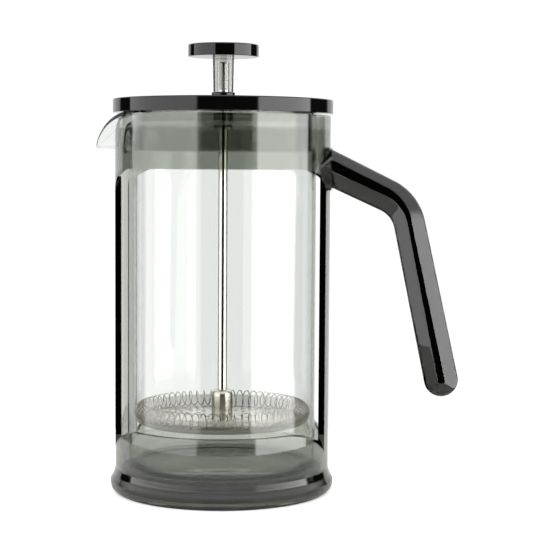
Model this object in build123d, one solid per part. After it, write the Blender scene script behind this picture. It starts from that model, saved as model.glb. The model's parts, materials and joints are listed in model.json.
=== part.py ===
from build123d import *
import os
from math import atan2, cos, degrees, pi, radians, sin, sqrt, tan

# A one litre coffee press, in millimetres. +Z is up, the handle is on +X and the spout on -X.
# The origin is the centre of the foot ring's underside. The plunger is pressed down.

# ---- beaker: blown borosilicate glass with a drooping beak ----
BEAKER_BORE = 90.0
GLASS = 2.0
GLASS_BASE = 2.6
BEAKER_CORNER = 9.0
BEAKER_SEAT_Z = 10.0
BEAKER_RIM_Z = 189.5
SPOUT_REACH = 17.0
SPOUT_DROP = 17.2
SPOUT_ROOT_DROP = 24.0
SPOUT_HALF_WIDTH = 25.0
SPOUT_THROAT = 0.48
SPOUT_LIP = 2.6

# ---- frame: one moulding of foot, base cup, two struts and collar ----
FRAME_WALL = 3.0
GLASS_GAP = 4.0
FLOOR_Z = 5.6
FLOOR_T = 2.4
DRAIN_BORE = 28.0
FOOT_FLARE = 2.4
FOOT_BAND_Z = 4.2
FOOT_TOP_Z = 12.0
FOOT_EDGE = 3.4
GUIDE_T = 1.8
GUIDE_H = 5.0
GUIDE_CLEAR = 0.4
COLLAR_HEIGHT = 26.8
WINDOW_CORNER = 11.5
RIM_Z = 34.0
NOTCH_Z = 22.0
SHOULDER = 16.6
STRUT_WIDTH = 24.4
COLLAR_DROP = 0.7
REBATE_DEPTH = 6.8
REBATE = 1.0
SPOUT_NOTCH_DEPTH = 19.4
SPOUT_NOTCH_WIDTH = 62.0
BOSS_REACH = 1.0
BOSS_DROP = 15.6
BOSS_HEIGHT = 21.2
BOSS_HALF_WIDTH = 10.4
BOSS_FLARE_IN = 6.5
BOSS_FLARE_OUT = 13.0
BOSS_SLOPE = 2.0

# ---- foot ring and beaker cushion: soft rings under the frame and under the glass ----
FRAME_LIFT = 0.6
RING_WIDTH = 3.0
RING_GROOVE = 1.4
RING_INSET = 3.2
CUSHION_T = 1.8
CUSHION_WIDTH = 22.0
CUSHION_OUTSET = 5.0

# ---- handle: solid moulding, arm down from the collar and grip falling outwards ----
ARM_WIDTH = 17.2
GRIP_WIDTH = 15.6
GRIP_END_WIDTH = 16.9
HANDLE_THICK = 20.0
HANDLE_FACET = 6.8
HANDLE_FACET_DEPTH = 3.6
ARM_DROP_DEG = 25.4
ROOT_DROP = 26.1
BEND_REACH = 36.6
BEND_RADIUS = 20.5
GRIP_LENGTH = 89.1
GRIP_LEAN_DEG = 12.05

# ---- handle screws: two, from inside the collar, hidden behind the glass ----
SCREW_R = 1.75
SCREW_HEAD_R = 3.2
SCREW_HEAD_T = 1.8
SCREW_LENGTH = 12.0
SCREW_PITCH = 8.0
SCREW_DROP = 3.4
SCREW_CLEAR = 0.25
THREAD_CLEAR = 0.03

# ---- lid: flat shell, plug-in base with skirt and guide boss, and a soft seal ----
LID_OVERHANG = 1.15
LID_T = 6.9
LID_GAP = 0.3
LID_TOP_T = 2.5
LID_RIM_T = 2.6
LID_EDGE = 0.5
BASE_T = 1.6
SKIRT_CLEAR = 0.6
SKIRT_T = 1.4
SKIRT_DEPTH = 18.6
SLOT_COUNT = 7
SLOT_WIDTH = 0.9
SLOT_PITCH = 2.0
SLOT_RISE = 1.6
SLOT_HEIGHT = 8.2
SLOT_TURN_DEG = 43.5
SEAL_DROP = 6.8
SEAL_H = 2.0
SEAL_DEPTH = 0.7
SEAL_CLEAR = 0.1
SEAL_GAP = 0.25
BOSS_R = 4.9
BOSS_DEPTH = 7.2
BUSH_WALL = 1.0
COLLAR_R = 5.9
COLLAR_H = 3.8
CLIP_T = 0.6
CLIP_R = 4.6

# ---- plunger: steel rod, clear stem, flat knob ----
ROD_R = 2.35
ROD_CLEAR = 0.05
ROD_SHORT = 2.7
STEM_LOW_R = 5.05
STEM_HIGH_R = 5.4
STEM_GAP = 0.1
STEM_LENGTH = 17.4
STEM_TENON = 2.0
KNOB_R = 17.65
KNOB_T = 6.1
KNOB_EDGE = 0.5
HUB_R = 5.35
HUB_TOP_Z = 50.7
HUB_DOME = 2.2
ROD_GRIP = 8.0

# ---- strainer stack: cross plate, mesh, coil and spreader plate, clamped to the hub ----
STACK_CLEAR = 0.35
MESH_T = 0.3
COIL_WIRE = 0.8
COIL_MINOR_R = 4.1
COIL_GAP = 0.05
COIL_Z = 40.6
PLATE_T = 0.8
PLATE_RISE = 1.2
PLATE_STEP_R = 22.0
HOLE_R = 1.1
HOLE_ROWS = ((12.0, 12), (18.0, 18), (26.0, 26), (31.0, 32))
CROSS_R = 32.0
CROSS_T = 0.9
CROSS_CUTS = 6
CROSS_CUT_R = 8.0
SCREW_STUD_R = 2.0
NUT_R = 5.0
NUT_T = 2.4

# ---- worked out from the sizes above ----
BEAKER_R = BEAKER_BORE / 2 + GLASS
BORE_R = BEAKER_BORE / 2
WALL_R = BEAKER_R + GLASS_GAP
FRAME_R = WALL_R + FRAME_WALL
FOOT_R = FRAME_R + FOOT_FLARE
BOSS_X = FRAME_R + BOSS_REACH
FLOOR_TOP_Z = FLOOR_Z + FLOOR_T
COLLAR_TOP_Z = BEAKER_RIM_Z - COLLAR_DROP
WINDOW_TOP_Z = COLLAR_TOP_Z - COLLAR_HEIGHT
REBATE_Z = COLLAR_TOP_Z - REBATE_DEPTH
SPOUT_NOTCH_Z = COLLAR_TOP_Z - SPOUT_NOTCH_DEPTH
BOSS_HIGH_Z = COLLAR_TOP_Z - BOSS_DROP
BOSS_LOW_Z = BOSS_HIGH_Z - BOSS_HEIGHT
ROOT_Z = COLLAR_TOP_Z - ROOT_DROP
LID_R = FRAME_R + LID_OVERHANG
LID_Z = BEAKER_RIM_Z + LID_GAP
LID_TOP_Z = LID_Z + LID_T
SKIRT_R = BORE_R - SKIRT_CLEAR
SKIRT_LOW_Z = LID_Z - SKIRT_DEPTH
SLOT_LOW_Z = SKIRT_LOW_Z + SLOT_RISE
SLOT_HIGH_Z = SLOT_LOW_Z + SLOT_HEIGHT
SEAL_Z = LID_Z - SEAL_DROP
BOSS_Z = LID_Z - BOSS_DEPTH
BUSH_R = ROD_R + ROD_CLEAR + BUSH_WALL
MESH_OUT = COIL_MINOR_R + COIL_GAP + MESH_T
COIL_R = BORE_R - STACK_CLEAR - MESH_OUT
MESH_Z = COIL_Z - COIL_MINOR_R - COIL_GAP
PLATE_Z = MESH_Z
HUB_Z = PLATE_Z + PLATE_T + PLATE_RISE
CROSS_Z = MESH_Z - MESH_T
STEM_Z = LID_TOP_Z + COLLAR_H + STEM_GAP
KNOB_Z = STEM_Z + STEM_LENGTH
ROD_TOP_Z = KNOB_Z - ROD_SHORT


def ring(inner, outer, low, high):
    """A plain ring or, with inner at 0, a disc about Z."""
    solid = Pos(0, 0, low) * extrude(Circle(outer), high - low)
    if inner > 0:
        solid -= Pos(0, 0, low - 1) * extrude(Circle(inner), high - low + 2)
    return solid


def turned(points):
    """A solid of revolution about Z from a closed outline of (radius, height) points."""
    with BuildLine(Plane.XZ) as line:
        Polyline(*points, close=True)
    return revolve(make_face(line.line), Axis.Z)


def beak(grow, low_x, reach):
    """A vee-bottomed beak that narrows from the glass wall to the tip, grown by a margin."""
    root_half = SPOUT_HALF_WIDTH + grow
    tip_x = -(BEAKER_R + reach)
    stations = (
        (low_x, root_half, SPOUT_ROOT_DROP + grow),
        (-(FRAME_R - 0.5), root_half * SPOUT_THROAT, SPOUT_DROP - 0.6 + grow),
        (tip_x, SPOUT_LIP + grow, SPOUT_DROP + grow * 0.3),
    )
    sections = []
    for x, half, depth in stations:
        top = BEAKER_RIM_Z + 2
        low = BEAKER_RIM_Z - depth
        waist = low + depth * 0.5
        with BuildSketch(Plane(origin=(x, 0, 0), x_dir=(0, 1, 0), z_dir=(1, 0, 0))) as s:
            with BuildLine():
                Polyline(
                    (half, top),
                    (-half, top),
                    (-half, BEAKER_RIM_Z),
                    (-half * 0.52, waist),
                    (-half * 0.12, low),
                    (half * 0.12, low),
                    (half * 0.52, waist),
                    (half, BEAKER_RIM_Z),
                    close=True,
                )
            make_face()
        sections.append(s.sketch)
    return loft(sections, ruled=True)


def droop():
    """What lies above the beak's falling rim line, to be cut away."""
    tip_x = -(BEAKER_R + SPOUT_REACH)
    tip_z = BEAKER_RIM_Z - SPOUT_DROP + 1.4
    far = tip_x - 5
    with BuildSketch(Plane.XZ) as s:
        with BuildLine():
            Line((-BEAKER_R + 0.2, BEAKER_RIM_Z), (-BEAKER_R + 0.2, BEAKER_RIM_Z + 20))
            Line((-BEAKER_R + 0.2, BEAKER_RIM_Z + 20), (far, BEAKER_RIM_Z + 20))
            Line((far, BEAKER_RIM_Z + 20), (far, tip_z))
            Line((far, tip_z), (tip_x, tip_z))
            mid_x = -BEAKER_R - SPOUT_REACH * 0.64
            mid_z = BEAKER_RIM_Z - SPOUT_DROP * 0.34
            ThreePointArc((tip_x, tip_z), (mid_x, mid_z), (-BEAKER_R + 0.2, BEAKER_RIM_Z))
        make_face()
    return extrude(s.sketch, 60, both=True)


def make_beaker():
    """Glass cup with a rounded base corner, and a hollow beak joined to its wall."""
    outer = ring(0, BEAKER_R, BEAKER_SEAT_Z, BEAKER_RIM_Z)
    outer = fillet(outer.edges().sort_by(Axis.Z)[0], BEAKER_CORNER)
    inner = ring(0, BORE_R, BEAKER_SEAT_Z + GLASS_BASE, BEAKER_RIM_Z + 5)
    inner = fillet(inner.edges().sort_by(Axis.Z)[0], BEAKER_CORNER - GLASS)
    lip_outer = beak(0.0, -(BEAKER_R - 4.0), SPOUT_REACH)
    lip_inner = beak(-GLASS * 0.75, -(BEAKER_R - 6.0), SPOUT_REACH + 2.0)
    shell = outer + (lip_outer - droop())
    shell -= ring(0, BEAKER_R + 60, BEAKER_RIM_Z, BEAKER_RIM_Z + 30)
    return shell - lip_inner - inner


def make_window():
    """The tool that cuts the front window: round top corners and falling bottom shoulders."""
    half_strut = STRUT_WIDTH / 2
    edge = sqrt(FRAME_R**2 - half_strut**2)
    fall = RIM_Z - NOTCH_Z
    radius = (SHOULDER**2 + fall**2) / (2 * fall)
    start = edge - SHOULDER
    angle = atan2(SHOULDER, radius - fall) / 2
    mid = (start + radius * sin(angle), RIM_Z - radius * (1 - cos(angle)))
    corner = edge - WINDOW_CORNER
    with BuildSketch(Plane.XZ) as s:
        with BuildLine():
            Line((-corner, WINDOW_TOP_Z), (corner, WINDOW_TOP_Z))
            RadiusArc(
                (corner, WINDOW_TOP_Z), (edge, WINDOW_TOP_Z - WINDOW_CORNER), WINDOW_CORNER
            )
            Line((edge, WINDOW_TOP_Z - WINDOW_CORNER), (edge, NOTCH_Z))
            ThreePointArc((edge, NOTCH_Z), mid, (start, RIM_Z))
            Line((start, RIM_Z), (-start, RIM_Z))
            ThreePointArc((-start, RIM_Z), (-mid[0], mid[1]), (-edge, NOTCH_Z))
            Line((-edge, NOTCH_Z), (-edge, WINDOW_TOP_Z - WINDOW_CORNER))
            RadiusArc(
                (-edge, WINDOW_TOP_Z - WINDOW_CORNER), (-corner, WINDOW_TOP_Z), WINDOW_CORNER
            )
        make_face()
    tool = extrude(s.sketch, -(FRAME_R + 10))
    return Pos(0, half_strut, 0) * tool


def make_spout_notch():
    """The dip in the collar that the beak passes through, a vee with hollow flanks."""
    half = SPOUT_NOTCH_WIDTH / 2
    top = COLLAR_TOP_Z
    low = SPOUT_NOTCH_Z
    depth = top - low
    flank = (half * 0.31, low + depth * 0.46)
    toe = (half * 0.12, low + depth * 0.095)
    with BuildSketch(Plane.YZ) as s:
        with BuildLine():
            Polyline((-half, top), (-half, top + 20), (half, top + 20), (half, top))
            ThreePointArc((half, top), (half * 0.58, low + depth * 0.71), flank)
            Line(flank, toe)
            ThreePointArc(toe, (0, low), (-toe[0], toe[1]))
            Line((-toe[0], toe[1]), (-flank[0], flank[1]))
            ThreePointArc(
                (-flank[0], flank[1]), (-half * 0.58, low + depth * 0.71), (-half, top)
            )
        make_face()
    return extrude(s.sketch, -(FRAME_R + 20))


def make_boss():
    """Seat for the handle: flanks that flare into the collar, under a sloping top."""
    inside = BOSS_X - 16
    wide = BOSS_HALF_WIDTH + BOSS_FLARE_OUT
    flare_x = BOSS_X - BOSS_FLARE_IN
    plan = [
        (BOSS_X, -BOSS_HALF_WIDTH),
        (BOSS_X, BOSS_HALF_WIDTH),
        (flare_x, wide),
        (inside, wide),
        (inside, -wide),
        (flare_x, -wide),
    ]
    fall = BOSS_SLOPE * BOSS_FLARE_IN
    side = [
        (BOSS_X, BOSS_LOW_Z),
        (BOSS_X, BOSS_HIGH_Z),
        (flare_x, BOSS_HIGH_Z - fall),
        (inside, BOSS_HIGH_Z - fall),
        (inside, BOSS_LOW_Z),
    ]
    with BuildSketch() as top_view:
        with BuildLine():
            Polyline(*plan, close=True)
        make_face()
    with BuildSketch(Plane.XZ) as side_view:
        with BuildLine():
            Polyline(*side, close=True)
        make_face()
    column = Pos(0, 0, BOSS_LOW_Z) * extrude(top_view.sketch, BOSS_HEIGHT)
    return column & extrude(side_view.sketch, wide, both=True)


def screw_heights():
    """Heights of the two screws, a little below the root's middle because the arm falls."""
    middle = ROOT_Z - SCREW_DROP
    return (middle - SCREW_PITCH / 2, middle + SCREW_PITCH / 2)


def make_frame():
    """Turned wall with floor and flared foot, cut by two windows and the spout notch."""
    body = turned(
        [
            (DRAIN_BORE / 2, FLOOR_Z),
            (WALL_R - 1.0, FLOOR_Z),
            (WALL_R - 0.6, FRAME_LIFT),
            (FOOT_R - FOOT_EDGE * 0.62, FRAME_LIFT),
            (FOOT_R - FOOT_EDGE * 0.14, FRAME_LIFT + FOOT_EDGE * 0.5),
            (FOOT_R, FRAME_LIFT + FOOT_EDGE),
            (FOOT_R, FRAME_LIFT + FOOT_EDGE + FOOT_BAND_Z * 0.5),
            (FRAME_R + FOOT_FLARE * 0.35, FOOT_TOP_Z - 3.0),
            (FRAME_R, FOOT_TOP_Z),
            (FRAME_R, COLLAR_TOP_Z),
            (WALL_R + REBATE, COLLAR_TOP_Z),
            (WALL_R + REBATE, REBATE_Z),
            (WALL_R, REBATE_Z),
            (WALL_R, FLOOR_TOP_Z),
            (DRAIN_BORE / 2, FLOOR_TOP_Z),
        ]
    )
    guide_in = BEAKER_R + GUIDE_CLEAR
    body += ring(guide_in, guide_in + GUIDE_T, FLOOR_TOP_Z - 0.5, FLOOR_TOP_Z + GUIDE_H)
    body += make_boss() - ring(0, WALL_R, BOSS_LOW_Z - 5, BOSS_HIGH_Z + 5)
    window = make_window()
    body -= window
    body -= Rot(0, 0, 180) * window
    body -= make_spout_notch()
    groove_out = FOOT_R - RING_INSET
    body -= ring(groove_out - RING_WIDTH, groove_out, 0, FRAME_LIFT + RING_GROOVE)
    for z in screw_heights():
        hole = Cylinder(SCREW_R + SCREW_CLEAR, 30, rotation=(0, 90, 0))
        body -= Pos(FRAME_R, 0, z) * hole
    return body


def make_foot_ring():
    outer = FOOT_R - RING_INSET
    return ring(outer - RING_WIDTH, outer, 0, FRAME_LIFT + RING_GROOVE)


def make_cushion():
    outer = BEAKER_R - CUSHION_OUTSET
    return ring(outer - CUSHION_WIDTH, outer, FLOOR_TOP_Z, FLOOR_TOP_Z + CUSHION_T)


def handle_path():
    """Root, bend and end of the handle's centre line in the XZ plane."""
    drop = radians(ARM_DROP_DEG)
    lean = radians(GRIP_LEAN_DEG)
    root = (BOSS_X, ROOT_Z)
    bend = (BOSS_X + BEND_REACH, ROOT_Z - BEND_REACH * tan(drop))
    end = (bend[0] + GRIP_LENGTH * sin(lean), bend[1] - GRIP_LENGTH * cos(lean))
    return root, bend, end


def make_handle():
    """Arm and grip as one slab with a round end, its long edges rounded over."""
    root, bend, end = handle_path()
    drop = radians(ARM_DROP_DEG)
    lean = radians(GRIP_LEAN_DEG)
    arm_n = (sin(drop), cos(drop))
    grip_n = (cos(lean), sin(lean))
    turn = (pi / 2 - lean - drop) / 2
    middle = ((arm_n[0] + grip_n[0]) / 2, (arm_n[1] + grip_n[1]) / 2)
    size = sqrt(middle[0] ** 2 + middle[1] ** 2)
    middle = (middle[0] / size, middle[1] / size)
    half = (ARM_WIDTH + GRIP_WIDTH) / 4
    corner = half / cos(turn)

    def beside(point, normal, distance):
        return (point[0] + normal[0] * distance, point[1] + normal[1] * distance)

    sides = []
    for side in (1, -1):
        start = beside(root, arm_n, side * ARM_WIDTH / 2)
        start = (BOSS_X, start[1] + (start[0] - BOSS_X) * tan(drop))
        turn_point = beside(bend, middle, side * corner)
        finish = beside(end, grip_n, side * GRIP_END_WIDTH / 2)
        sides.append((start, turn_point, finish, BEND_RADIUS + side * half))
    tip = (end[0] + sin(lean) * GRIP_END_WIDTH / 2, end[1] - cos(lean) * GRIP_END_WIDTH / 2)
    with BuildSketch(Plane.XZ) as s:
        with BuildLine():
            FilletPolyline(*sides[0][:3], radius=sides[0][3])
            ThreePointArc(sides[0][2], tip, sides[1][2])
            FilletPolyline(*sides[1][:3], radius=sides[1][3])
            Line(sides[0][0], sides[1][0])
        make_face()
    slab = extrude(s.sketch, HANDLE_THICK / 2, both=True)
    for side in (Axis.Y, -Axis.Y):
        face = slab.faces().sort_by(side)[-1]
        rim = [e for e in face.edges() if e.center().X > BOSS_X + 0.5]
        slab = chamfer(rim, HANDLE_FACET, HANDLE_FACET_DEPTH, reference=face)
    for z in screw_heights():
        pilot = Cylinder(SCREW_R + THREAD_CLEAR, 2 * SCREW_LENGTH, rotation=(0, 90, 0))
        slab -= Pos(BOSS_X, 0, z) * pilot
    return slab


def make_handle_screws():
    """Two pan-head screws along X, heads against the collar's inner face."""
    seat = sqrt(WALL_R**2 - SCREW_HEAD_R**2) - THREAD_CLEAR
    screws = []
    for z in screw_heights():
        head = Cylinder(SCREW_HEAD_R, SCREW_HEAD_T, rotation=(0, 90, 0))
        shank = Cylinder(SCREW_R, SCREW_LENGTH, rotation=(0, 90, 0))
        screw = Pos(seat - SCREW_HEAD_T / 2, 0, z) * head
        screw += Pos(seat + SCREW_LENGTH / 2 - 0.5, 0, z) * shank
        screws.append(screw.solid())
    return Compound(children=screws)


def make_lid_plate():
    """Flat shell with a rim, open below, and a hole for the bush."""
    plate = ring(0, LID_R, LID_Z, LID_TOP_Z)
    plate = fillet(plate.edges(), LID_EDGE)
    plate -= ring(0, LID_R - LID_RIM_T, LID_Z - 1, LID_TOP_Z - LID_TOP_T)
    return plate - ring(0, BUSH_R + THREAD_CLEAR, LID_Z, LID_TOP_Z + 1)


def make_lid_skirt():
    """Base disc that plugs into the shell, with the strainer skirt and the guide boss."""
    base = ring(0, LID_R - LID_RIM_T - THREAD_CLEAR, LID_Z, LID_Z + BASE_T)
    skirt = ring(SKIRT_R - SKIRT_T, SKIRT_R, SKIRT_LOW_Z, LID_Z + 0.5)
    boss = ring(0, BOSS_R, BOSS_Z, LID_TOP_Z - LID_TOP_T)
    body = base + skirt + boss
    groove = SKIRT_R - SEAL_DEPTH
    body -= ring(groove, SKIRT_R + 1, SEAL_Z - SEAL_CLEAR, SEAL_Z + SEAL_H + SEAL_CLEAR)
    body -= ring(0, BUSH_R + THREAD_CLEAR, BOSS_Z - 1, LID_TOP_Z)
    step = degrees(SLOT_PITCH / SKIRT_R)
    for i in range(SLOT_COUNT):
        angle = 180 + SLOT_TURN_DEG + (i - (SLOT_COUNT - 1) / 2) * step
        slot = Pos(SKIRT_R, 0, (SLOT_LOW_Z + SLOT_HIGH_Z) / 2)
        slot *= Box(3 * SKIRT_T, SLOT_WIDTH, SLOT_HIGH_Z - SLOT_LOW_Z)
        body -= Rot(0, 0, angle) * slot
    return body


def make_lid_seal():
    inner = SKIRT_R - SEAL_DEPTH + SEAL_CLEAR
    return ring(inner, BORE_R - SEAL_GAP, SEAL_Z, SEAL_Z + SEAL_H)


def make_rod_bush():
    """Sleeve that guides the rod through the lid."""
    return ring(ROD_R + ROD_CLEAR, BUSH_R, BOSS_Z, LID_TOP_Z)


def make_lid_collar():
    """Small dark stop ring on the lid, under the stem."""
    collar = ring(ROD_R + ROD_CLEAR, COLLAR_R, LID_TOP_Z, LID_TOP_Z + COLLAR_H)
    return fillet(collar.edges().filter_by(GeomType.CIRCLE).sort_by(Axis.Z)[-1], 0.4)


def make_rod_clip():
    """Push-on washer that keeps the bush in its boss."""
    return ring(ROD_R + ROD_CLEAR + 0.1, CLIP_R, BOSS_Z - CLIP_T, BOSS_Z)


def make_knob():
    knob = ring(0, KNOB_R, KNOB_Z, KNOB_Z + KNOB_T)
    knob = fillet(knob.edges(), KNOB_EDGE)
    return knob - ring(0, STEM_HIGH_R - 1.0 + THREAD_CLEAR, KNOB_Z - 1, KNOB_Z + STEM_TENON)


def make_knob_stem():
    """Clear tapered tube, tenoned into the knob, with the rod screwed up inside it."""
    stem = turned(
        [
            (0, STEM_Z),
            (STEM_LOW_R, STEM_Z),
            (STEM_HIGH_R, KNOB_Z),
            (STEM_HIGH_R - 1.0, KNOB_Z),
            (STEM_HIGH_R - 1.0, KNOB_Z + STEM_TENON),
            (0, KNOB_Z + STEM_TENON),
        ]
    )
    return stem - ring(0, ROD_R + THREAD_CLEAR, STEM_Z - 1, ROD_TOP_Z)


def make_plunger_rod():
    low = HUB_TOP_Z - ROD_GRIP
    return ring(0, ROD_R, low, ROD_TOP_Z - THREAD_CLEAR)


def make_rod_hub():
    """Round-topped nut that takes the rod above and the clamp stud below."""
    hub = ring(0, HUB_R, HUB_Z, HUB_TOP_Z)
    hub = fillet(hub.edges().sort_by(Axis.Z)[-1], HUB_DOME)
    hub -= ring(0, ROD_R + THREAD_CLEAR, HUB_TOP_Z - ROD_GRIP - 0.5, HUB_TOP_Z + 1)
    return hub - ring(0, SCREW_STUD_R + THREAD_CLEAR, HUB_Z - 1, HUB_Z + 4)


def make_coil_plate():
    """Spreader plate: flat disc with a raised middle and rows of drain holes."""
    flat_r = COIL_R - COIL_MINOR_R * 0.45
    step = PLATE_STEP_R
    plate = turned(
        [
            (0, PLATE_Z + PLATE_RISE),
            (step - 2 * PLATE_RISE, PLATE_Z + PLATE_RISE),
            (step, PLATE_Z),
            (flat_r - 4.0, PLATE_Z),
            (flat_r - 4.0, PLATE_Z + PLATE_T),
            (step + 0.4, PLATE_Z + PLATE_T),
            (step - 2 * PLATE_RISE + 0.4, PLATE_Z + PLATE_RISE + PLATE_T),
            (0, PLATE_Z + PLATE_RISE + PLATE_T),
        ]
    )
    plate -= ring(0, SCREW_STUD_R + THREAD_CLEAR, PLATE_Z - 1, HUB_Z + 1)
    holes = []
    for radius, count in HOLE_ROWS:
        hole = extrude(Circle(HOLE_R), 6)
        for i in range(count):
            angle = 2 * pi * i / count
            place = Pos(radius * cos(angle), radius * sin(angle), PLATE_Z - 1)
            holes.append(place * hole)
    return plate - holes


def make_coil_spring():
    """The coil's envelope: a hollow ring whose skin is as thick as the wire."""
    outer = Pos(0, 0, COIL_Z) * Torus(COIL_R, COIL_MINOR_R)
    return outer - Pos(0, 0, COIL_Z) * Torus(COIL_R, COIL_MINOR_R - COIL_WIRE)


def make_mesh_screen():
    """Mesh cup: a flat disc whose rim wraps up and over the outside of the coil."""
    inner = COIL_MINOR_R + COIL_GAP
    outer = inner + MESH_T
    top = COIL_Z
    with BuildSketch(Plane.XZ) as s:
        with BuildLine():
            Line((SCREW_STUD_R + THREAD_CLEAR, MESH_Z - MESH_T), (COIL_R, MESH_Z - MESH_T))
            ThreePointArc(
                (COIL_R, top - outer), (COIL_R + outer, top), (COIL_R, top + outer)
            )
            Line((COIL_R, top + outer), (COIL_R, top + inner))
            ThreePointArc(
                (COIL_R, top + inner), (COIL_R + inner, top), (COIL_R, top - inner)
            )
            Line((COIL_R, MESH_Z), (SCREW_STUD_R + THREAD_CLEAR, MESH_Z))
            Line(
                (SCREW_STUD_R + THREAD_CLEAR, MESH_Z),
                (SCREW_STUD_R + THREAD_CLEAR, MESH_Z - MESH_T),
            )
        make_face()
    return revolve(s.sketch, Axis.Z)


def make_cross_plate():
    """Clamp plate below the mesh, a disc with round bites that leave six petals."""
    plate = ring(SCREW_STUD_R + THREAD_CLEAR, CROSS_R, CROSS_Z - CROSS_T, CROSS_Z)
    bites = []
    for i in range(CROSS_CUTS):
        angle = 2 * pi * i / CROSS_CUTS
        reach = CROSS_R - CROSS_CUT_R * 0.35
        bite = extrude(Circle(CROSS_CUT_R), 4)
        bites.append(Pos(reach * cos(angle), reach * sin(angle), CROSS_Z - 3) * bite)
    return plate - bites


def make_clamp_stud():
    low = CROSS_Z - CROSS_T - NUT_T
    return ring(0, SCREW_STUD_R, low, HUB_Z + 3.5)


def make_stack_nut():
    low = CROSS_Z - CROSS_T - NUT_T
    nut = Pos(0, 0, low) * extrude(RegularPolygon(NUT_R, 6), NUT_T)
    return nut - ring(0, SCREW_STUD_R + THREAD_CLEAR, low - 1, low + NUT_T + 1)


PARTS = {
    "frame": make_frame,
    "foot_ring": make_foot_ring,
    "beaker_cushion": make_cushion,
    "handle": make_handle,
    "handle_screws": make_handle_screws,
    "beaker": make_beaker,
    "lid_seal": make_lid_seal,
    "lid_plate": make_lid_plate,
    "lid_skirt": make_lid_skirt,
    "rod_bush": make_rod_bush,
    "lid_collar": make_lid_collar,
    "rod_clip": make_rod_clip,
    "knob": make_knob,
    "knob_stem": make_knob_stem,
    "plunger_rod": make_plunger_rod,
    "rod_hub": make_rod_hub,
    "coil_plate": make_coil_plate,
    "coil_spring": make_coil_spring,
    "mesh_screen": make_mesh_screen,
    "cross_plate": make_cross_plate,
    "clamp_stud": make_clamp_stud,
    "stack_nut": make_stack_nut,
}

os.makedirs("parts", exist_ok=True)
for name, make in PARTS.items():
    export_step(make(), f"parts/{name}.step")
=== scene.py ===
import json

import bmesh
import bpy
import numpy as np
from mathutils import Matrix, Vector

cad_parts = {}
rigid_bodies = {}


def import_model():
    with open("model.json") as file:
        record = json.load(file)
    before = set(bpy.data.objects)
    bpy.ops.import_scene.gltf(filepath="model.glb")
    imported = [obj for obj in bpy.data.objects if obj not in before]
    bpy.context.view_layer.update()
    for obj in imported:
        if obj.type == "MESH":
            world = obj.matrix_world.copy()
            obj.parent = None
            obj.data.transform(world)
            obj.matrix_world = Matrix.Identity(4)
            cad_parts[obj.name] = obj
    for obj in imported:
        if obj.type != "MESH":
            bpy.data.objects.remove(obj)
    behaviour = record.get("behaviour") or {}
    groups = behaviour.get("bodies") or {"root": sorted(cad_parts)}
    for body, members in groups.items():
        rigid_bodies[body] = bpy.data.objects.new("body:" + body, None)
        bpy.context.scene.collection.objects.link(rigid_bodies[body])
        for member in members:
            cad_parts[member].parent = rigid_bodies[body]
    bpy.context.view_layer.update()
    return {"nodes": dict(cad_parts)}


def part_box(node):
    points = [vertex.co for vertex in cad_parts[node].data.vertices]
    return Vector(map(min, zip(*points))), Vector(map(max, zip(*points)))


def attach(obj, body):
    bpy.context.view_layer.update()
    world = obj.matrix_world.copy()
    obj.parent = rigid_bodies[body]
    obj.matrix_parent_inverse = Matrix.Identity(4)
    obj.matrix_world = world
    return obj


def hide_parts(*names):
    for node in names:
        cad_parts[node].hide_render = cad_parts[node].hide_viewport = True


for leftover in list(bpy.data.objects):
    bpy.data.objects.remove(leftover)
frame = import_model()
node = frame["nodes"]
mm = 0.001


# ---------------------------------------------------------------------------
# Studio: the press stands on a white sweep between two tall soft lights.
# The room behind the camera is dark, so glossy faces show bright and black bands.
# ---------------------------------------------------------------------------
camera_away = 0.7779
camera_height = 0.1645
camera_azimuth = np.radians(6.5)
camera_aim = np.radians(2.042)
camera_pitch = np.radians(4.18)
camera_roll = np.radians(0.378)
camera_lens = 100.1

place = Vector(
    (
        camera_away * np.sin(camera_azimuth),
        -camera_away * np.cos(camera_azimuth),
        camera_height,
    )
)
heading = camera_azimuth - camera_aim
level = Vector((-np.sin(heading), np.cos(heading), 0.0))
forward = level * np.cos(camera_pitch) - Vector((0, 0, 1)) * np.sin(camera_pitch)
right = forward.cross(Vector((0, 0, 1))).normalized()
above = right.cross(forward)
side_axis = right * np.cos(camera_roll) + above * np.sin(camera_roll)
up_axis = above * np.cos(camera_roll) - right * np.sin(camera_roll)
camera_data = bpy.data.cameras.new("studio_camera")
camera_data.sensor_width = 36.0
camera_data.lens = camera_lens
camera_data.clip_start = 0.01
camera_data.clip_end = 50.0
camera = bpy.data.objects.new("studio_camera", camera_data)
camera.matrix_world = Matrix.Translation(place) @ Matrix(
    (side_axis, up_axis, -forward)
).transposed().to_4x4()
bpy.context.scene.collection.objects.link(camera)
bpy.context.scene.camera = camera
bpy.context.scene.view_settings.view_transform = "Standard"
bpy.context.scene.cycles.max_bounces = 28
bpy.context.scene.cycles.transmission_bounces = 28
bpy.context.scene.cycles.glossy_bounces = 8
bpy.context.scene.cycles.transparent_max_bounces = 24

studio = bpy.data.worlds.new("studio")
bpy.context.scene.world = studio
studio.use_nodes = True
sky = studio.node_tree
sky.nodes.clear()


def node_in(tree, kind, **values):
    """A new node in a tree; values set its properties, or its inputs by name with _ for a blank."""
    made = tree.nodes.new(kind)
    for key, value in values.items():
        if hasattr(made, key):
            setattr(made, key, value)
        else:
            made.inputs[key.replace("_", " ")].default_value = value
    return made


def math_in(tree, kind, *values):
    """A Math node of one kind on up to three values, each a socket or a number."""
    made = tree.nodes.new("ShaderNodeMath")
    made.operation = kind
    for slot, value in enumerate(values):
        if isinstance(value, (int, float)):
            made.inputs[slot].default_value = value
        else:
            tree.links.new(value, made.inputs[slot])
    return made.outputs[0]


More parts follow.
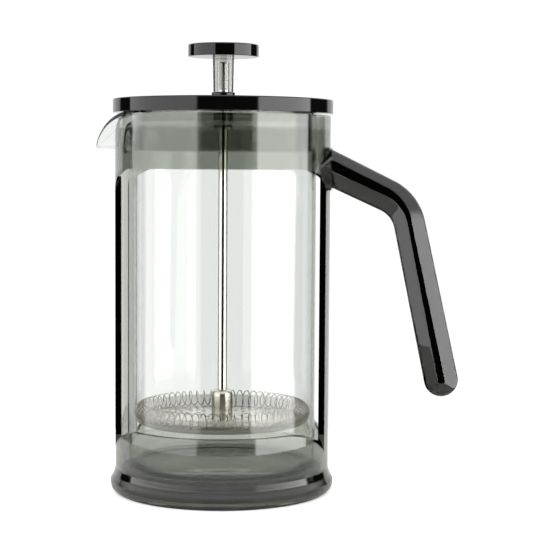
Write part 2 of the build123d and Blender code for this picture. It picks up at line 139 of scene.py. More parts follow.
def ramp_in(tree, value, stops):
    """A colour ramp of grey stops, each (position, grey), read at a value."""
    made = tree.nodes.new("ShaderNodeValToRGB")
    while len(made.color_ramp.elements) < len(stops):
        made.color_ramp.elements.new(0.5)
    for element, (position, grey) in zip(made.color_ramp.elements, stops):
        element.position = position
        element.color = (grey, grey, grey, 1.0)
    tree.links.new(value, made.inputs[0])
    return made.outputs[0]


# Light round the horizon, by degrees from the camera's own bearing, to its right if positive:
# a bright key light on the right, a weaker fill light on the left and the lit sweep behind.
key_light = 4.7
fill_light = 2.4
sweep_light = 0.94
dark_room = 0.01
around = (
    (-180, sweep_light),
    (-136, sweep_light),
    (-132, dark_room),
    (-112, dark_room),
    (-110, fill_light),
    (-28, fill_light),
    (-26, dark_room),
    (35, dark_room),
    (37, key_light),
    (100, key_light),
    (102, dark_room),
    (136, dark_room),
    (140, sweep_light),
    (180, sweep_light),
)
brightest = 5.0
direction = node_in(sky, "ShaderNodeTexCoord")
turned_sky = node_in(sky, "ShaderNodeMapping", vector_type="POINT")
turned_sky.inputs["Rotation"].default_value = (0, 0, -camera_azimuth)
sky.links.new(direction.outputs["Generated"], turned_sky.inputs["Vector"])
parts = node_in(sky, "ShaderNodeSeparateXYZ")
sky.links.new(turned_sky.outputs[0], parts.inputs[0])
toward = math_in(sky, "MULTIPLY", parts.outputs["Y"], -1.0)
bearing = math_in(sky, "ARCTAN2", parts.outputs["X"], toward)
share = math_in(sky, "MULTIPLY_ADD", bearing, 1.0 / (2 * np.pi), 0.5)
bands = ramp_in(sky, share, [((a + 180) / 360, v / brightest) for a, v in around])
bands = math_in(sky, "MULTIPLY", bands, brightest)
# Overhead a pale ceiling takes over from the bands, and straight views see plain white.
ceiling_light = 1.5
ceiling_from = 0.16
ceiling_full = 0.34
backdrop_light = 1.05
rise = ((0.0, 0.0), (ceiling_from, 0.0), (ceiling_full, 1.0), (1.0, 1.0))
ceiling = ramp_in(sky, parts.outputs["Z"], rise)
mixed = node_in(sky, "ShaderNodeMix", data_type="FLOAT")
sky.links.new(ceiling, mixed.inputs[0])
sky.links.new(bands, mixed.inputs[2])
mixed.inputs[3].default_value = ceiling_light
seen = node_in(sky, "ShaderNodeLightPath")
straight = node_in(sky, "ShaderNodeMix", data_type="FLOAT")
sky.links.new(seen.outputs["Is Camera Ray"], straight.inputs[0])
sky.links.new(mixed.outputs[0], straight.inputs[2])
straight.inputs[3].default_value = backdrop_light
backing = node_in(sky, "ShaderNodeBackground", Color=(1.0, 1.0, 1.0, 1.0))
sky.links.new(straight.outputs[0], backing.inputs["Strength"])
sky_out = node_in(sky, "ShaderNodeOutputWorld")
sky.links.new(backing.outputs[0], sky_out.inputs["Surface"])

# The sweep under the press is small, so that low glossy faces look past it into the dark room.
# Straight views see it lit up to the white behind it.
floor_r = 0.19
floor_sides = 96
lit_white = (0.90, 0.90, 0.895, 1)
mirrored_white = (0.72, 0.72, 0.70, 1)
lit_glow = 0.4
floor_angle = np.linspace(0, 2 * np.pi, floor_sides + 1)[:-1]
floor_rim = np.stack([np.cos(floor_angle), np.sin(floor_angle), 0 * floor_angle], -1) * floor_r
floor_mesh = bpy.data.meshes.new("floor")
floor_mesh.from_pydata(floor_rim.tolist(), [], [list(range(floor_sides))])
floor = bpy.data.objects.new("floor", floor_mesh)
bpy.context.scene.collection.objects.link(floor)
white_sweep = bpy.data.materials.new("white_sweep")
white_sweep.use_nodes = True
paper = white_sweep.node_tree
paper_body = paper.nodes["Principled BSDF"]
paper_body.inputs["Roughness"].default_value = 0.9
paper_body.inputs["Specular IOR Level"].default_value = 0.1
paper_body.inputs["Emission Color"].default_value = (1, 1, 1, 1)
paper_seen = node_in(paper, "ShaderNodeLightPath")
paper_tone = node_in(paper, "ShaderNodeMix", data_type="RGBA")
paper_tone.inputs[6].default_value = mirrored_white
paper_tone.inputs[7].default_value = lit_white
paper.links.new(paper_seen.outputs["Is Camera Ray"], paper_tone.inputs[0])
paper.links.new(paper_tone.outputs[2], paper_body.inputs["Base Color"])
paper_glow = math_in(paper, "MULTIPLY", paper_seen.outputs["Is Camera Ray"], lit_glow)
paper.links.new(paper_glow, paper_body.inputs["Emission Strength"])
floor_mesh.materials.append(white_sweep)


# ---------------------------------------------------------------------------
# Frame: one moulding of smoke tinted clear plastic. A flared foot and base cup, two
# struts and a collar hold the glass. It is shown as it was drawn, in its own plastic, with
# painted shade on the cut edges of its windows.
# ---------------------------------------------------------------------------
smoke_density = 330.0
smoke_tint = (0.38, 0.40, 0.34, 1)
clear_colour = (0.97, 0.98, 0.97, 1)
# Painted shade: a near black base colour for the cut edges of the windows, put on wall faces that
# look sideways, further out than wall_r and above edges_from_z.
painted_edge_shade = (0.05, 0.055, 0.05, 1)
flow_scale = (45.0, 45.0, 12.0)
flow_height = 0.4 * mm
wall_r = 49.4 * mm
edges_from_z = 14.0 * mm
edge_facing = 0.4


def plastic(name, density, tint, roughness, ior=1.58, flow=0.02, shadow=0.8):
    """Clear plastic, glass or silicone: a smooth body that darkens with depth, with faint flow
    marks in its gloss and its surface, and a way through for straight light to what is behind."""
    material = bpy.data.materials.new(name)
    material.use_nodes = True
    tree = material.node_tree
    tree.nodes.clear()
    body = node_in(tree, "ShaderNodeBsdfPrincipled", Base_Color=clear_colour, IOR=ior)
    body.inputs["Transmission Weight"].default_value = 1.0
    coords = node_in(tree, "ShaderNodeTexCoord")
    stretch = node_in(tree, "ShaderNodeMapping")
    stretch.inputs["Scale"].default_value = flow_scale
    tree.links.new(coords.outputs["Object"], stretch.inputs["Vector"])
    marks = node_in(tree, "ShaderNodeTexNoise", Scale=1.0, Detail=3.0, Roughness=0.5)
    tree.links.new(stretch.outputs[0], marks.inputs["Vector"])
    gloss = math_in(tree, "MULTIPLY_ADD", marks.outputs["Fac"], roughness, roughness * 0.5)
    tree.links.new(gloss, body.inputs["Roughness"])
    waves = node_in(tree, "ShaderNodeBump", Strength=flow, Distance=flow_height)
    tree.links.new(marks.outputs["Fac"], waves.inputs["Height"])
    tree.links.new(waves.outputs[0], body.inputs["Normal"])
    path = node_in(tree, "ShaderNodeLightPath")
    through = node_in(tree, "ShaderNodeBsdfTransparent", Color=(shadow, shadow, shadow, 1))
    mix = node_in(tree, "ShaderNodeMixShader")
    tree.links.new(path.outputs["Is Shadow Ray"], mix.inputs[0])
    tree.links.new(body.outputs[0], mix.inputs[1])
    tree.links.new(through.outputs[0], mix.inputs[2])
    out = node_in(tree, "ShaderNodeOutputMaterial")
    tree.links.new(mix.outputs[0], out.inputs["Surface"])
    depth = node_in(tree, "ShaderNodeVolumeAbsorption", Color=tint, Density=density)
    tree.links.new(depth.outputs[0], out.inputs["Volume"])
    return material


def shaded_edge_mask(tree):
    """Where the painted shade of the windows' cut edges goes: 1 on the faces of the wall that look
    sideways, as the cut edges of the windows do, and 0 on faces that look in or out, further in
    than the wall, or near the foot."""
    coords = node_in(tree, "ShaderNodeTexCoord")
    flat = node_in(tree, "ShaderNodeVectorMath", operation="MULTIPLY")
    flat.inputs[1].default_value = (1, 1, 0)
    tree.links.new(coords.outputs["Object"], flat.inputs[0])
    outward = node_in(tree, "ShaderNodeVectorMath", operation="NORMALIZE")
    tree.links.new(flat.outputs[0], outward.inputs[0])
    facing = node_in(tree, "ShaderNodeVectorMath", operation="DOT_PRODUCT")
    tree.links.new(coords.outputs["Normal"], facing.inputs[0])
    tree.links.new(outward.outputs[0], facing.inputs[1])
    sideways = math_in(tree, "ABSOLUTE", facing.outputs["Value"])
    sideways = math_in(tree, "LESS_THAN", sideways, edge_facing)
    reach = node_in(tree, "ShaderNodeVectorMath", operation="LENGTH")
    tree.links.new(flat.outputs[0], reach.inputs[0])
    in_wall = math_in(tree, "GREATER_THAN", reach.outputs["Value"], wall_r)
    axes = node_in(tree, "ShaderNodeSeparateXYZ")
    tree.links.new(coords.outputs["Object"], axes.inputs[0])
    above_foot = math_in(tree, "GREATER_THAN", axes.outputs["Z"], edges_from_z)
    mask = math_in(tree, "MULTIPLY", sideways, in_wall)
    return math_in(tree, "MULTIPLY", mask, above_foot)


def wear(obj, material):
    """Puts one material on an object, in place of what it has."""
    obj.data.materials.clear()
    obj.data.materials.append(material)


# The cut edges of the windows carry light away sideways, so they read as dark lines; that
# darkness is painted shade, a near black base colour put on the faces that look sideways.
frame_plastic = plastic("frame_plastic", smoke_density, smoke_tint, 0.02)
edges = frame_plastic.node_tree
edge_shade_blend = node_in(edges, "ShaderNodeMix", data_type="RGBA")
edge_shade_blend.inputs[6].default_value = clear_colour
edge_shade_blend.inputs[7].default_value = painted_edge_shade
edges.links.new(shaded_edge_mask(edges), edge_shade_blend.inputs[0])
edges.links.new(edge_shade_blend.outputs[2], edges.nodes["Principled BSDF"].inputs["Base Color"])
wear(node["frame"], frame_plastic)


# ---------------------------------------------------------------------------
# Foot ring, beaker cushion and lid seal: a dark rubber ring pressed into the foot, and clear
# silicone rings under the glass and round the lid's skirt. All are soft mouldings, matt skinned.
# ---------------------------------------------------------------------------


def solid_finish(name, colour, roughness, metallic=0.0, grain=(300.0, 300.0, 300.0), depth=0.1,
                 spread=0.3, shade=0.12, **sockets):
    """An opaque finish: noise stretched along the grain varies its colour, gloss and height."""
    material = bpy.data.materials.new(name)
    material.use_nodes = True
    tree = material.node_tree
    body = tree.nodes["Principled BSDF"]
    body.inputs["Metallic"].default_value = metallic
    for key, value in sockets.items():
        body.inputs[key.replace("_", " ")].default_value = value
    coords = node_in(tree, "ShaderNodeTexCoord")
    stretch = node_in(tree, "ShaderNodeMapping")
    stretch.inputs["Scale"].default_value = grain
    tree.links.new(coords.outputs["Object"], stretch.inputs["Vector"])
    noise = node_in(tree, "ShaderNodeTexNoise", Scale=1.0, Detail=4.0, Roughness=0.6)
    tree.links.new(stretch.outputs[0], noise.inputs["Vector"])
    dark = [c * (1 - shade) for c in colour] + [1]
    light = [min(1.0, c * (1 + shade)) for c in colour] + [1]
    blend = node_in(tree, "ShaderNodeMix", data_type="RGBA")
    blend.inputs[6].default_value = dark
    blend.inputs[7].default_value = light
    tree.links.new(noise.outputs["Fac"], blend.inputs[0])
    tree.links.new(blend.outputs[2], body.inputs["Base Color"])
    least = roughness * (1 - spread / 2)
    gloss = math_in(tree, "MULTIPLY_ADD", noise.outputs["Fac"], roughness * spread, least)
    tree.links.new(gloss, body.inputs["Roughness"])
    relief = node_in(tree, "ShaderNodeBump", Strength=depth, Distance=0.0002)
    tree.links.new(noise.outputs["Fac"], relief.inputs["Height"])
    tree.links.new(relief.outputs[0], body.inputs["Normal"])
    return material


dark_rubber = solid_finish("dark_rubber", (0.04, 0.04, 0.036), 0.6, grain=(900.0, 900.0, 900.0))
silicone = plastic("clear_silicone", 60.0, (0.80, 0.80, 0.78, 1), 0.22, ior=1.41)
wear(node["foot_ring"], dark_rubber)
wear(node["beaker_cushion"], silicone)
wear(node["lid_seal"], silicone)


# ---------------------------------------------------------------------------
# Handle: a solid moulded lever of dark smoke plastic, screwed to the collar. Its section has
# eight sides: broad flats meet in a ridge on the front and the back, wider towards the collar.
# ---------------------------------------------------------------------------


def welded(name, grids, sharp=32.0, material=None):
    """One closed mesh from grids of points: neighbours in a grid are joined by quads, points that
    coincide become one, and a quad that loses a corner becomes a triangle."""
    points = []
    quads = []
    start = 0
    for grid in grids:
        rows, columns = grid.shape[:2]
        number = np.arange(rows * columns).reshape(rows, columns) + start
        corners = (number[:-1, :-1], number[1:, :-1], number[1:, 1:], number[:-1, 1:])
        quads.append(np.stack(corners, -1).reshape(-1, 4))
        points.append(grid.reshape(-1, 3))
        start += rows * columns
    points = np.concatenate(points)
    quads = np.concatenate(quads)
    key = np.round(points * 1e7).astype(np.int64)
    _, first, back = np.unique(key, axis=0, return_index=True, return_inverse=True)
    points = points[first]
    quads = back.reshape(-1)[quads]
    repeat = quads == np.roll(quads, -1, axis=1)
    whole = quads[repeat.sum(1) == 0]
    lost = repeat.sum(1) == 1
    triangles = quads[lost][~repeat[lost]].reshape(-1, 3)
    mesh = bpy.data.meshes.new(name)
    mesh.from_pydata(points.tolist(), [], whole.tolist() + triangles.tolist())
    work = bmesh.new()
    work.from_mesh(mesh)
    bmesh.ops.recalc_face_normals(work, faces=work.faces)
    work.to_mesh(mesh)
    work.free()
    mesh.shade_smooth()
    mesh.set_sharp_from_angle(angle=np.radians(sharp))
    obj = bpy.data.objects.new(name, mesh)
    bpy.context.scene.collection.objects.link(obj)
    if material is not None:
        mesh.materials.append(material)
    return obj


def eased(corners, radius, steps=5):
    """An outline with each corner replaced by a short parabola that leaves its sides a given
    distance from the corner, or at most 0.45 of the side."""
    corners = np.asarray(corners, float)
    radii = np.broadcast_to(radius, len(corners))
    before = np.roll(corners, 1, axis=0) - corners
    after = np.roll(corners, -1, axis=0) - corners
    reach_b = np.minimum(radii, 0.45 * np.linalg.norm(before, axis=1))
    reach_a = np.minimum(radii, 0.45 * np.linalg.norm(after, axis=1))
    enter = corners + before * (reach_b / np.linalg.norm(before, axis=1))[:, None]
    leave = corners + after * (reach_a / np.linalg.norm(after, axis=1))[:, None]
    t = np.concatenate([[0.0], np.linspace(0.06, 0.94, steps), [1.0]])[None, :, None]
    curve = (1 - t) ** 2 * enter[:, None] + 2 * t * (1 - t) * corners[:, None] + t**2 * leave[:, None]
    outline = curve.reshape(-1, 2)
    return np.concatenate([outline, outline[:1]])


handle_low, handle_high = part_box("handle")
arm_width = 17.2 * mm
bend_width = 15.6 * mm
end_width = 16.9 * mm
handle_thick = handle_high.y - handle_low.y
flat_depth = 3.6 * mm
flat_width = 6.8 * mm
root_upper_flat = 4.2 * mm
root_lower_flat = 7.8 * mm
ridge_ease = 0.5 * mm
edge_ease = 1.5 * mm
bend_x = 91.6 * mm
bend_z = 145.3 * mm
end_x = 110.2 * mm
end_z = 58.2 * mm
bend_radius = 20.5 * mm
bend_gain = 0.6 * mm
corner_steps = 5
upper_points = 6 * (corner_steps + 2)
handle_smoke = (0.32, 0.36, 0.29, 1)
root = np.array([handle_low.x + 0.03 * mm, 162.7 * mm])
bend_point = np.array([bend_x, bend_z])
grip_end = np.array([end_x, end_z])
arm_reach = np.linalg.norm(bend_point - root)
arm_way = (bend_point - root) / arm_reach
arm_drop = -np.arctan2(arm_way[1], arm_way[0])
grip_way = (grip_end - bend_point) / np.linalg.norm(grip_end - bend_point)
turn = -np.arctan2(grip_way[1], grip_way[0]) - arm_drop
cut_back = bend_radius * np.tan(turn / 2)


def section(width, root_share=0.0):
    """Section of the lever across its width and thickness: a rectangle whose four long edges are
    cut back to broad flats, each corner eased. Towards the root the ridge widens and moves up."""
    half = width / 2
    upper = half - flat_width - (root_upper_flat - flat_width) * root_share
    lower = half - flat_width - (root_lower_flat - flat_width) * root_share
    deep = handle_thick / 2
    side = deep - flat_depth
    upper_half = [(0, -deep), (upper, -deep), (half, -side), (half, side), (upper, deep), (0, deep)]
    lower_half = [(-lower, deep), (-half, side), (-half, -side), (-lower, -deep)]
    ease = np.array([0, ridge_ease, edge_ease, edge_ease, ridge_ease] * 2)
    return eased(upper_half + lower_half, ease, corner_steps)


def lever_stations(arm_steps=8, bend_steps=18, grip_steps=20):
    """Centre line stations of the lever: arm, bend and grip, each with its way, its width and how
    far its section is that of the root."""
    stations = []
    for s in np.linspace(0, 1, arm_steps):
        point = root + arm_way * s * (arm_reach - cut_back)
        width = arm_width + (bend_width + bend_gain - arm_width) * s
        stations.append((point, arm_drop, width, 1.0))
    inward = np.array([-np.sin(arm_drop), -np.cos(arm_drop)])
    centre = bend_point - arm_way * cut_back + inward * bend_radius
    for s in np.linspace(0, 1, bend_steps)[1:]:
        angle = arm_drop + turn * s
        point = centre + np.array([np.sin(angle), np.cos(angle)]) * bend_radius
        stations.append((point, angle, bend_width + bend_gain * (1 - s), 1 - s))
    start = bend_point + grip_way * cut_back
    for s in np.linspace(0, 1, grip_steps)[1:]:
        point = start + (grip_end - start) * s
        stations.append((point, arm_drop + turn, bend_width + (end_width - bend_width) * s, 0.0))
    return stations


def placed(point, angle, outline):
    """An outline of (across, thickness) set square to the centre line at a point."""
    across = np.array([np.sin(angle), np.cos(angle)])
    x = point[0] + outline[:, 0] * across[0]
    z = point[1] + outline[:, 0] * across[1]
    return np.stack([x, outline[:, 1], z], -1)


lever = np.array([placed(p, a, section(w, share)) for p, a, w, share in lever_stations()])
# The first section slides along the arm onto the collar's flat boss.
slide_back = (root[0] - lever[0, :, 0]) / arm_way[0]
lever[0, :, 0] += slide_back * arm_way[0]
lever[0, :, 2] += slide_back * arm_way[1]
butt = np.stack([lever[0], np.broadcast_to(lever[0].mean(0), lever[0].shape)])
# The round end is the upper half of the last section, swung half a turn about its middle.
upper_outline = section(end_width)[:upper_points]
cap = []
for swing in np.linspace(0, np.pi, 25):
    cap.append(placed(grip_end, arm_drop + turn + swing, upper_outline))
smoke_dark = plastic("smoke_dark_plastic", 560.0, handle_smoke, 0.03, shadow=0.4)
handle = welded("handle_lever", [lever, butt, np.array(cap)], sharp=20.0, material=smoke_dark)
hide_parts("handle")
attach(handle, "frame")


# ---------------------------------------------------------------------------
# Handle screws: two pan head screws of bright steel, driven from inside the collar.
# ---------------------------------------------------------------------------
bright_steel = solid_finish(
    "bright_steel", (0.55, 0.52, 0.47), 0.2, metallic=1.0, grain=(200.0, 200.0, 2600.0), depth=0.08
)
wear(node["handle_screws"], bright_steel)


# ---------------------------------------------------------------------------
# Beaker: blown borosilicate glass, two millimetres thick, with a round bottom corner and
# a beak drawn out and down from the rim while the glass was hot.
# ---------------------------------------------------------------------------
beaker_low, beaker_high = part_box("beaker")
beaker_r = beaker_high.y
beaker_base = beaker_low.z
glass_wall = 2.0 * mm
base_wall = 2.6 * mm
corner_r = 9.0 * mm
lip_r = glass_wall / 2
beaker_top = beaker_high.z - lip_r
beak_reach = -beaker_low.x - beaker_r - lip_r
beak_drop = 16.4 * mm
beak_root = 28.5 * mm
beak_half = np.radians(42.0)
beak_side_power = 1.5
beak_lift_power = 2.2
beak_drop_power = 4.2
punt_rise = 0.9 * mm
punt_r = 26.0 * mm
base_rows = 14
corner_rows = 11
lip_rows = 11


def beaker_skins(columns=480, wall_rows=8, beak_rows=32):
    """Outer skin: a flat base with a raised middle, a quarter round corner and an upright wall.
    Towards the beak, columns reach out and hang down as powers of a cosine of the angle from its
    middle. The inner skin is the outer one moved in along its normals, and a half round lip
    joins the two."""
    angle = np.linspace(0, 2 * np.pi, columns + 1)
    r_base = np.linspace(0, beaker_r - corner_r, base_rows)
    z_base = beaker_base + punt_rise * np.clip(1 - (r_base / punt_r) ** 2, 0, 1)
    corner = np.linspace(0, np.pi / 2, corner_rows + 1)[1:]
    r_corner = beaker_r - corner_r + corner_r * np.sin(corner)
    z_corner = beaker_base + corner_r * (1 - np.cos(corner))
    z_root = beaker_top - beak_root
    z_wall = np.linspace(z_corner[-1], z_root, wall_rows)[1:]
    low_r = np.concatenate([r_base, r_corner, np.full(len(z_wall), beaker_r)])
    low_z = np.concatenate([z_base, z_corner, z_wall])
    off = np.clip(np.abs(angle - np.pi) / beak_half, 0, 1)
    bump = np.cos(off * np.pi / 2)
    t = np.linspace(0, 1, beak_rows)[1:, None]
    high_r = beaker_r + beak_reach * bump**beak_side_power * t**beak_lift_power
    rim_z = beaker_top - beak_drop * bump**beak_drop_power
    high_z = z_root + (rim_z - z_root) * (1 - (1 - t) ** 3)
    radius = np.concatenate([np.repeat(low_r[:, None], columns + 1, 1), high_r])
    height = np.concatenate([np.repeat(low_z[:, None], columns + 1, 1), high_z])
    outer = np.stack([radius * np.cos(angle), radius * np.sin(angle), height], -1)
    outer[:, -1] = outer[:, 0]
    skin = outer[:, :-1]
    across = np.roll(skin, -1, axis=1) - np.roll(skin, 1, axis=1)
    along = np.gradient(skin, axis=0)
    along /= np.linalg.norm(along, axis=-1, keepdims=True)
    normal = np.cross(across, along)
    normal[0] = (0, 0, -1)
    normal /= np.linalg.norm(normal, axis=-1, keepdims=True)
    thick = np.full(len(outer), glass_wall)
    thick[:base_rows] = base_wall
    thick[base_rows : base_rows + corner_rows] = np.linspace(base_wall, glass_wall, corner_rows)
    inner = skin - normal * thick[:, None, None]
    middle = (skin[-1] + inner[-1]) / 2
    spoke = skin[-1] - middle
    swing = np.linspace(0, np.pi, lip_rows)[:, None, None]
    lip = middle + spoke * np.cos(swing) + along[-1] * lip_r * np.sin(swing)
    grids = [np.concatenate([grid, grid[:, :1]], axis=1) for grid in (skin, lip, inner[::-1])]
    return grids


clear_glass = plastic(
    "clear_glass", 40.0, (0.68, 0.72, 0.67, 1), 0.0, ior=1.36, flow=0.003, shadow=0.92
)
beaker = welded("beaker_glass", beaker_skins(), sharp=60.0, material=clear_glass)
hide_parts("beaker")
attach(beaker, "beaker")


# ---------------------------------------------------------------------------
# Lid: a flat shell of glossy black plastic over a smoke tinted base that plugs into the
# beaker. A sleeve in its middle guides the rod, with a dark stop ring on top.
# ---------------------------------------------------------------------------


def lathe(name, outline, material, columns=128, ease=None, sharp=32.0):
    """A turned piece: a closed outline of (radius, height) carried once round the axis."""
    points = np.concatenate([outline, outline[:1]]) if ease is None else eased(outline, ease)
    angle = np.linspace(0, 2 * np.pi, columns + 1)
    radius = points[:, 0][:, None]
    grid = np.stack(
        [
            radius * np.cos(angle),
            radius * np.sin(angle),
            np.broadcast_to(points[:, 1][:, None], (len(points), len(angle))),
        ],
        -1,
    )
    return welded(name, [grid], sharp=sharp, material=material)


gloss_black = solid_finish(
    "gloss_black_plastic",
    (0.0016, 0.0017, 0.0016),
    0.04,
    grain=(40.0, 40.0, 40.0),
    depth=0.015,
    shade=0.2,
    IOR=1.45,
)
lid_low, lid_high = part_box("lid_plate")
lid_r = lid_high.x
lid_wall = 2.6 * mm
lid_top_wall = 2.5 * mm
bush_hole = 3.43 * mm
lid_outline = np.array(
    [
        (bush_hole, lid_high.z),
        (lid_r, lid_high.z),
        (lid_r, lid_low.z),
        (lid_r - lid_wall, lid_low.z),
        (lid_r - lid_wall, lid_high.z - lid_top_wall),
        (bush_hole, lid_high.z - lid_top_wall),
    ]
)
lid_ease = np.array([0.2, 0.6, 0.3, 0.3, 0.5, 0.2]) * mm
lid = lathe("lid_disc", lid_outline, gloss_black, columns=192, ease=lid_ease)
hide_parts("lid_plate")
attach(lid, "lid")

smoke_deep = plastic("smoke_deep_plastic", 760.0, smoke_tint, 0.02)
smoke_clear = plastic("smoke_clear_plastic", smoke_density, smoke_tint, 0.02)
wear(node["lid_skirt"], smoke_deep)
wear(node["rod_bush"], smoke_clear)
wear(node["rod_clip"], bright_steel)

ring_low, ring_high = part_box("lid_collar")
rod_hole = 2.4 * mm
stop_outline = np.array(
    [
        (rod_hole, ring_high.z),
        (ring_high.x, ring_high.z),
        (ring_high.x, ring_low.z),
        (rod_hole, ring_low.z),
    ]
)
stop_ring = lathe("lid_stop_ring", stop_outline, gloss_black, columns=96, ease=0.5 * mm)
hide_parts("lid_collar")
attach(stop_ring, "lid")


# ---------------------------------------------------------------------------
# Knob and stem: a wide thin disc of the lid's black plastic on a tapered tube of smoke
# tinted plastic, through which the rod's screwed end can be seen.
# ---------------------------------------------------------------------------
knob_low, knob_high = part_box("knob")
knob_r = knob_high.x
knob_outline = np.array(
    [(0.0, knob_high.z), (knob_r, knob_high.z), (knob_r, knob_low.z), (0.0, knob_low.z)]
)
knob_ease = np.array([0.0, 0.6, 0.4, 0.0]) * mm
knob = lathe("knob_disc", knob_outline, gloss_black, ease=knob_ease)
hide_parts("knob")
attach(knob, "plunger")

stem_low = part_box("knob_stem")[0]
rod_low, rod_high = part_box("plunger_rod")
rod_r = rod_high.x
fit_gap = 0.03 * mm
tip_gap = 0.1 * mm
stem_foot = 5.05 * mm
stem_head = 5.4 * mm
stem_bore = rod_r + fit_gap
stem_top_z = knob_low.z - fit_gap
stem_outline = np.array(
    [
        (stem_bore, stem_low.z),
        (stem_foot, stem_low.z),
        (stem_head, stem_top_z),
        (0.0, stem_top_z),
        (0.0, rod_high.z + tip_gap),
        (stem_bore, rod_high.z + tip_gap),
    ]
)
smoke_pale = plastic("smoke_pale_plastic", 130.0, (0.38, 0.40, 0.36, 1), 0.02, ior=1.46)
stem = lathe("stem_tube", stem_outline, smoke_pale, columns=96)
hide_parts("knob_stem")
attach(stem, "plunger")


# ---------------------------------------------------------------------------
# Rod and hub: centreless ground stainless rod, with a rolled thread at the top, and the
# turned round-topped nut that joins it to the strainer.
# ---------------------------------------------------------------------------
thread_pitch = 1.0 * mm
thread_depth = 0.38 * mm
thread_from = stem_low.z + 0.6 * mm
thread_rows = 10


def rod_surface(columns=48):
    """A cylinder whose radius dips in a helix of one turn per pitch where the thread is cut."""
    plain = np.array([rod_low.z, rod_low.z + 0.4 * mm, thread_from])
    cut = np.arange(thread_from + 0.1 * mm, rod_high.z - 0.3 * mm, thread_pitch / thread_rows)
    z = np.concatenate([plain, cut, [rod_high.z]])
    angle = np.linspace(0, 2 * np.pi, columns + 1)
    wave = 0.5 + 0.5 * np.cos(2 * np.pi * z[:, None] / thread_pitch - angle)
    fade = np.clip((z - thread_from) / thread_pitch, 0, 1)[:, None]
    radius = rod_r - thread_depth * wave * fade
    x = radius * np.cos(angle)
    y = radius * np.sin(angle)
    side = np.stack([x, y, np.broadcast_to(z[:, None], x.shape)], -1)
    ends = []
    for row in (side[0], side[-1]):
        middle = np.array([0, 0, row[0, 2]])
        ends.append(np.stack([row, np.broadcast_to(middle, row.shape)]))
    return [side, *ends]


polished_steel = solid_finish(
    "polished_steel", (0.62, 0.60, 0.57), 0.07, metallic=1.0, grain=(900.0, 900.0, 60.0), depth=0.03
)
rod = welded("plunger_rod_ground", rod_surface(), material=polished_steel, sharp=40.0)
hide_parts("plunger_rod")
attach(rod, "plunger")

hub_low, hub_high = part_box("rod_hub")
hub_r = hub_high.x
hub_outline = np.array(
    [
        (rod_r + fit_gap, hub_high.z),
        (hub_r, hub_high.z),
        (hub_r, hub_low.z),
        (rod_r + fit_gap, hub_low.z),
    ]
)
hub_ease = np.array([0.3, 3.2, 0.4, 0.1]) * mm
hub = lathe("rod_hub_turned", hub_outline, bright_steel, columns=96, ease=hub_ease)
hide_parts("rod_hub")
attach(hub, "plunger")


# ---------------------------------------------------------------------------
# Strainer: a spring of stainless wire wound round the rim of a perforated plate, and a fine
# woven mesh pulled over it, all clamped to the hub by a petal plate, a stud and a thin nut.
# ---------------------------------------------------------------------------
spring_low, spring_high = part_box("coil_spring")
spring_minor = (spring_high.z - spring_low.z) / 2
spring_major = spring_high.x - spring_minor
spring_z = (spring_high.z + spring_low.z) / 2
wire_r = 0.3 * mm
spring_turns = 66


def spring_surface(stations=30, sides=8):
    """A thin tube whose centre line winds many turns round a ring lying flat."""
    count = spring_turns * stations
    s = np.linspace(0, 2 * np.pi, count + 1)
    turn_angle = s * spring_turns
    out = np.stack([np.cos(s), np.sin(s), np.zeros_like(s)], -1)
    up = np.array([0.0, 0.0, 1.0])
    minor = spring_minor - wire_r
    spoke = out * np.cos(turn_angle)[:, None] + up * np.sin(turn_angle)[:, None]
    centre = out * spring_major + spoke * minor
    centre[:, 2] += spring_z
    way = np.gradient(centre, axis=0)
    way /= np.linalg.norm(way, axis=1)[:, None]
    across = np.cross(way, spoke)
    around_wire = np.linspace(0, 2 * np.pi, sides + 1)
    ring = spoke[:, None] * np.cos(around_wire)[None, :, None]
    ring = ring + across[:, None] * np.sin(around_wire)[None, :, None]
    surface = centre[:, None] + ring * wire_r
    surface[-1] = surface[0]
    return surface


spring_wire = solid_finish(
    "spring_wire", (0.42, 0.40, 0.36), 0.16, metallic=1.0, grain=(500.0, 500.0, 500.0), depth=0.03
)
spring = welded("coil_spring_wound", [spring_surface()], sharp=80.0, material=spring_wire)
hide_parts("coil_spring")
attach(spring, "plunger")

mesh_low, mesh_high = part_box("mesh_screen")
weave_pitch = 0.42 * mm
mesh_sag = 1.8 * mm
sag_from = 32.5 * mm
wrap_to = np.radians(103.0)
wire_threshold = 0.5
stud_r = 2.1 * mm


def woven(name):
    """Plain woven steel wire: two sets of wires on the flat pattern's own coordinates, open
    between them, each wire rounded by its height."""
    material = bpy.data.materials.new(name)
    material.use_nodes = True
    tree = material.node_tree
    body = tree.nodes["Principled BSDF"]
    body.inputs["Metallic"].default_value = 1.0
    body.inputs["Base Color"].default_value = (0.27, 0.25, 0.215, 1)
    cut = node_in(tree, "ShaderNodeUVMap", uv_map="cut_pattern")
    axes = node_in(tree, "ShaderNodeSeparateXYZ")
    tree.links.new(cut.outputs[0], axes.inputs[0])
    wires = []
    for axis in (0, 1):
        phase = math_in(tree, "MULTIPLY", axes.outputs[axis], 2 * np.pi)
        wires.append(math_in(tree, "COSINE", phase))
    height = math_in(tree, "MAXIMUM", wires[0], wires[1])
    solid = math_in(tree, "GREATER_THAN", height, wire_threshold)
    relief = node_in(tree, "ShaderNodeBump", Strength=0.6, Distance=0.0001)
    tree.links.new(height, relief.inputs["Height"])
    tree.links.new(relief.outputs[0], body.inputs["Normal"])
    noise = node_in(tree, "ShaderNodeTexNoise", Scale=900.0, Detail=2.0)
    gloss = math_in(tree, "MULTIPLY_ADD", noise.outputs["Fac"], 0.15, 0.3)
    tree.links.new(gloss, body.inputs["Roughness"])
    tree.links.new(solid, body.inputs["Alpha"])
    return material


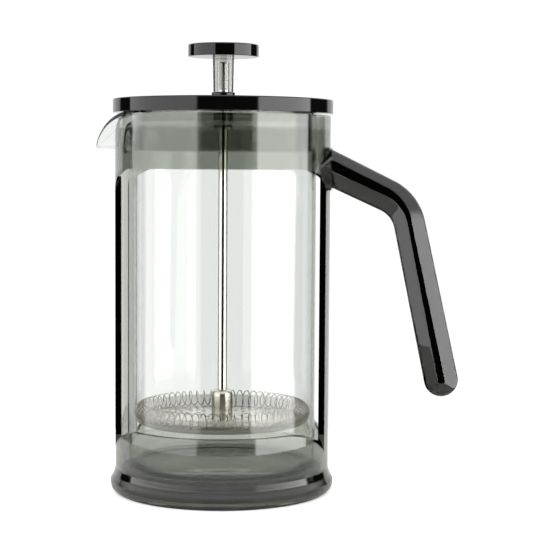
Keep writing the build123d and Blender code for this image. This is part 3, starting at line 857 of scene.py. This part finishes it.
def screen_surface(columns=192):
    """A disc of mesh, flat to the spring's middle and then wrapped up round its outside, past its
    widest part, one sheet thick. Its cut pattern is the disc that it was before it was wrapped."""
    outer = mesh_high.x - spring_major
    flat = np.linspace(stud_r, spring_major, 40)
    dip = np.clip((flat - sag_from) / (spring_major - sag_from), 0, 1)
    bend = np.linspace(0, wrap_to, 22)[1:]
    deep = spring_z - mesh_low.z + mesh_sag
    rise = np.where(bend < np.pi / 2, deep, outer) * np.cos(bend)
    radius = np.concatenate([flat, spring_major + outer * np.sin(bend)])
    height = np.concatenate([mesh_low.z - mesh_sag * dip**2 * (3 - 2 * dip), spring_z - rise])
    length = np.concatenate([flat, spring_major + outer * bend])
    angle = np.linspace(0, 2 * np.pi, columns + 1)
    grid = np.stack(
        [
            radius[:, None] * np.cos(angle),
            radius[:, None] * np.sin(angle),
            np.broadcast_to(height[:, None], (len(radius), len(angle))),
        ],
        -1,
    )
    pattern = np.stack([length[:, None] * np.cos(angle), length[:, None] * np.sin(angle)], -1)
    return grid, pattern / weave_pitch


def patterned(name, grid, pattern, material):
    """A sheet from one grid of points, with a UV map that holds its flat pattern."""
    rows, columns = grid.shape[:2]
    number = np.arange(rows * columns).reshape(rows, columns)
    corners = (number[:-1, :-1], number[:-1, 1:], number[1:, 1:], number[1:, :-1])
    quads = np.stack(corners, -1).reshape(-1, 4)
    mesh = bpy.data.meshes.new(name)
    mesh.from_pydata(grid.reshape(-1, 3).tolist(), [], quads.tolist())
    mesh.shade_smooth()
    layer = mesh.uv_layers.new(name="cut_pattern")
    layer.data.foreach_set("uv", pattern.reshape(-1, 2)[quads.reshape(-1)].astype(np.float32).ravel())
    mesh.materials.append(material)
    obj = bpy.data.objects.new(name, mesh)
    bpy.context.scene.collection.objects.link(obj)
    return obj


screen_grid, screen_pattern = screen_surface()
screen = patterned("mesh_screen_woven", screen_grid, screen_pattern, woven("woven_steel"))
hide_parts("mesh_screen")
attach(screen, "plunger")

pressed_steel = solid_finish(
    "pressed_steel", (0.52, 0.50, 0.46), 0.24, metallic=1.0, grain=(1200.0, 90.0, 90.0), depth=0.08
)
for name in ("coil_plate", "cross_plate"):
    wear(node[name], pressed_steel)
for name in ("clamp_stud", "stack_nut"):
    wear(node[name], bright_steel)
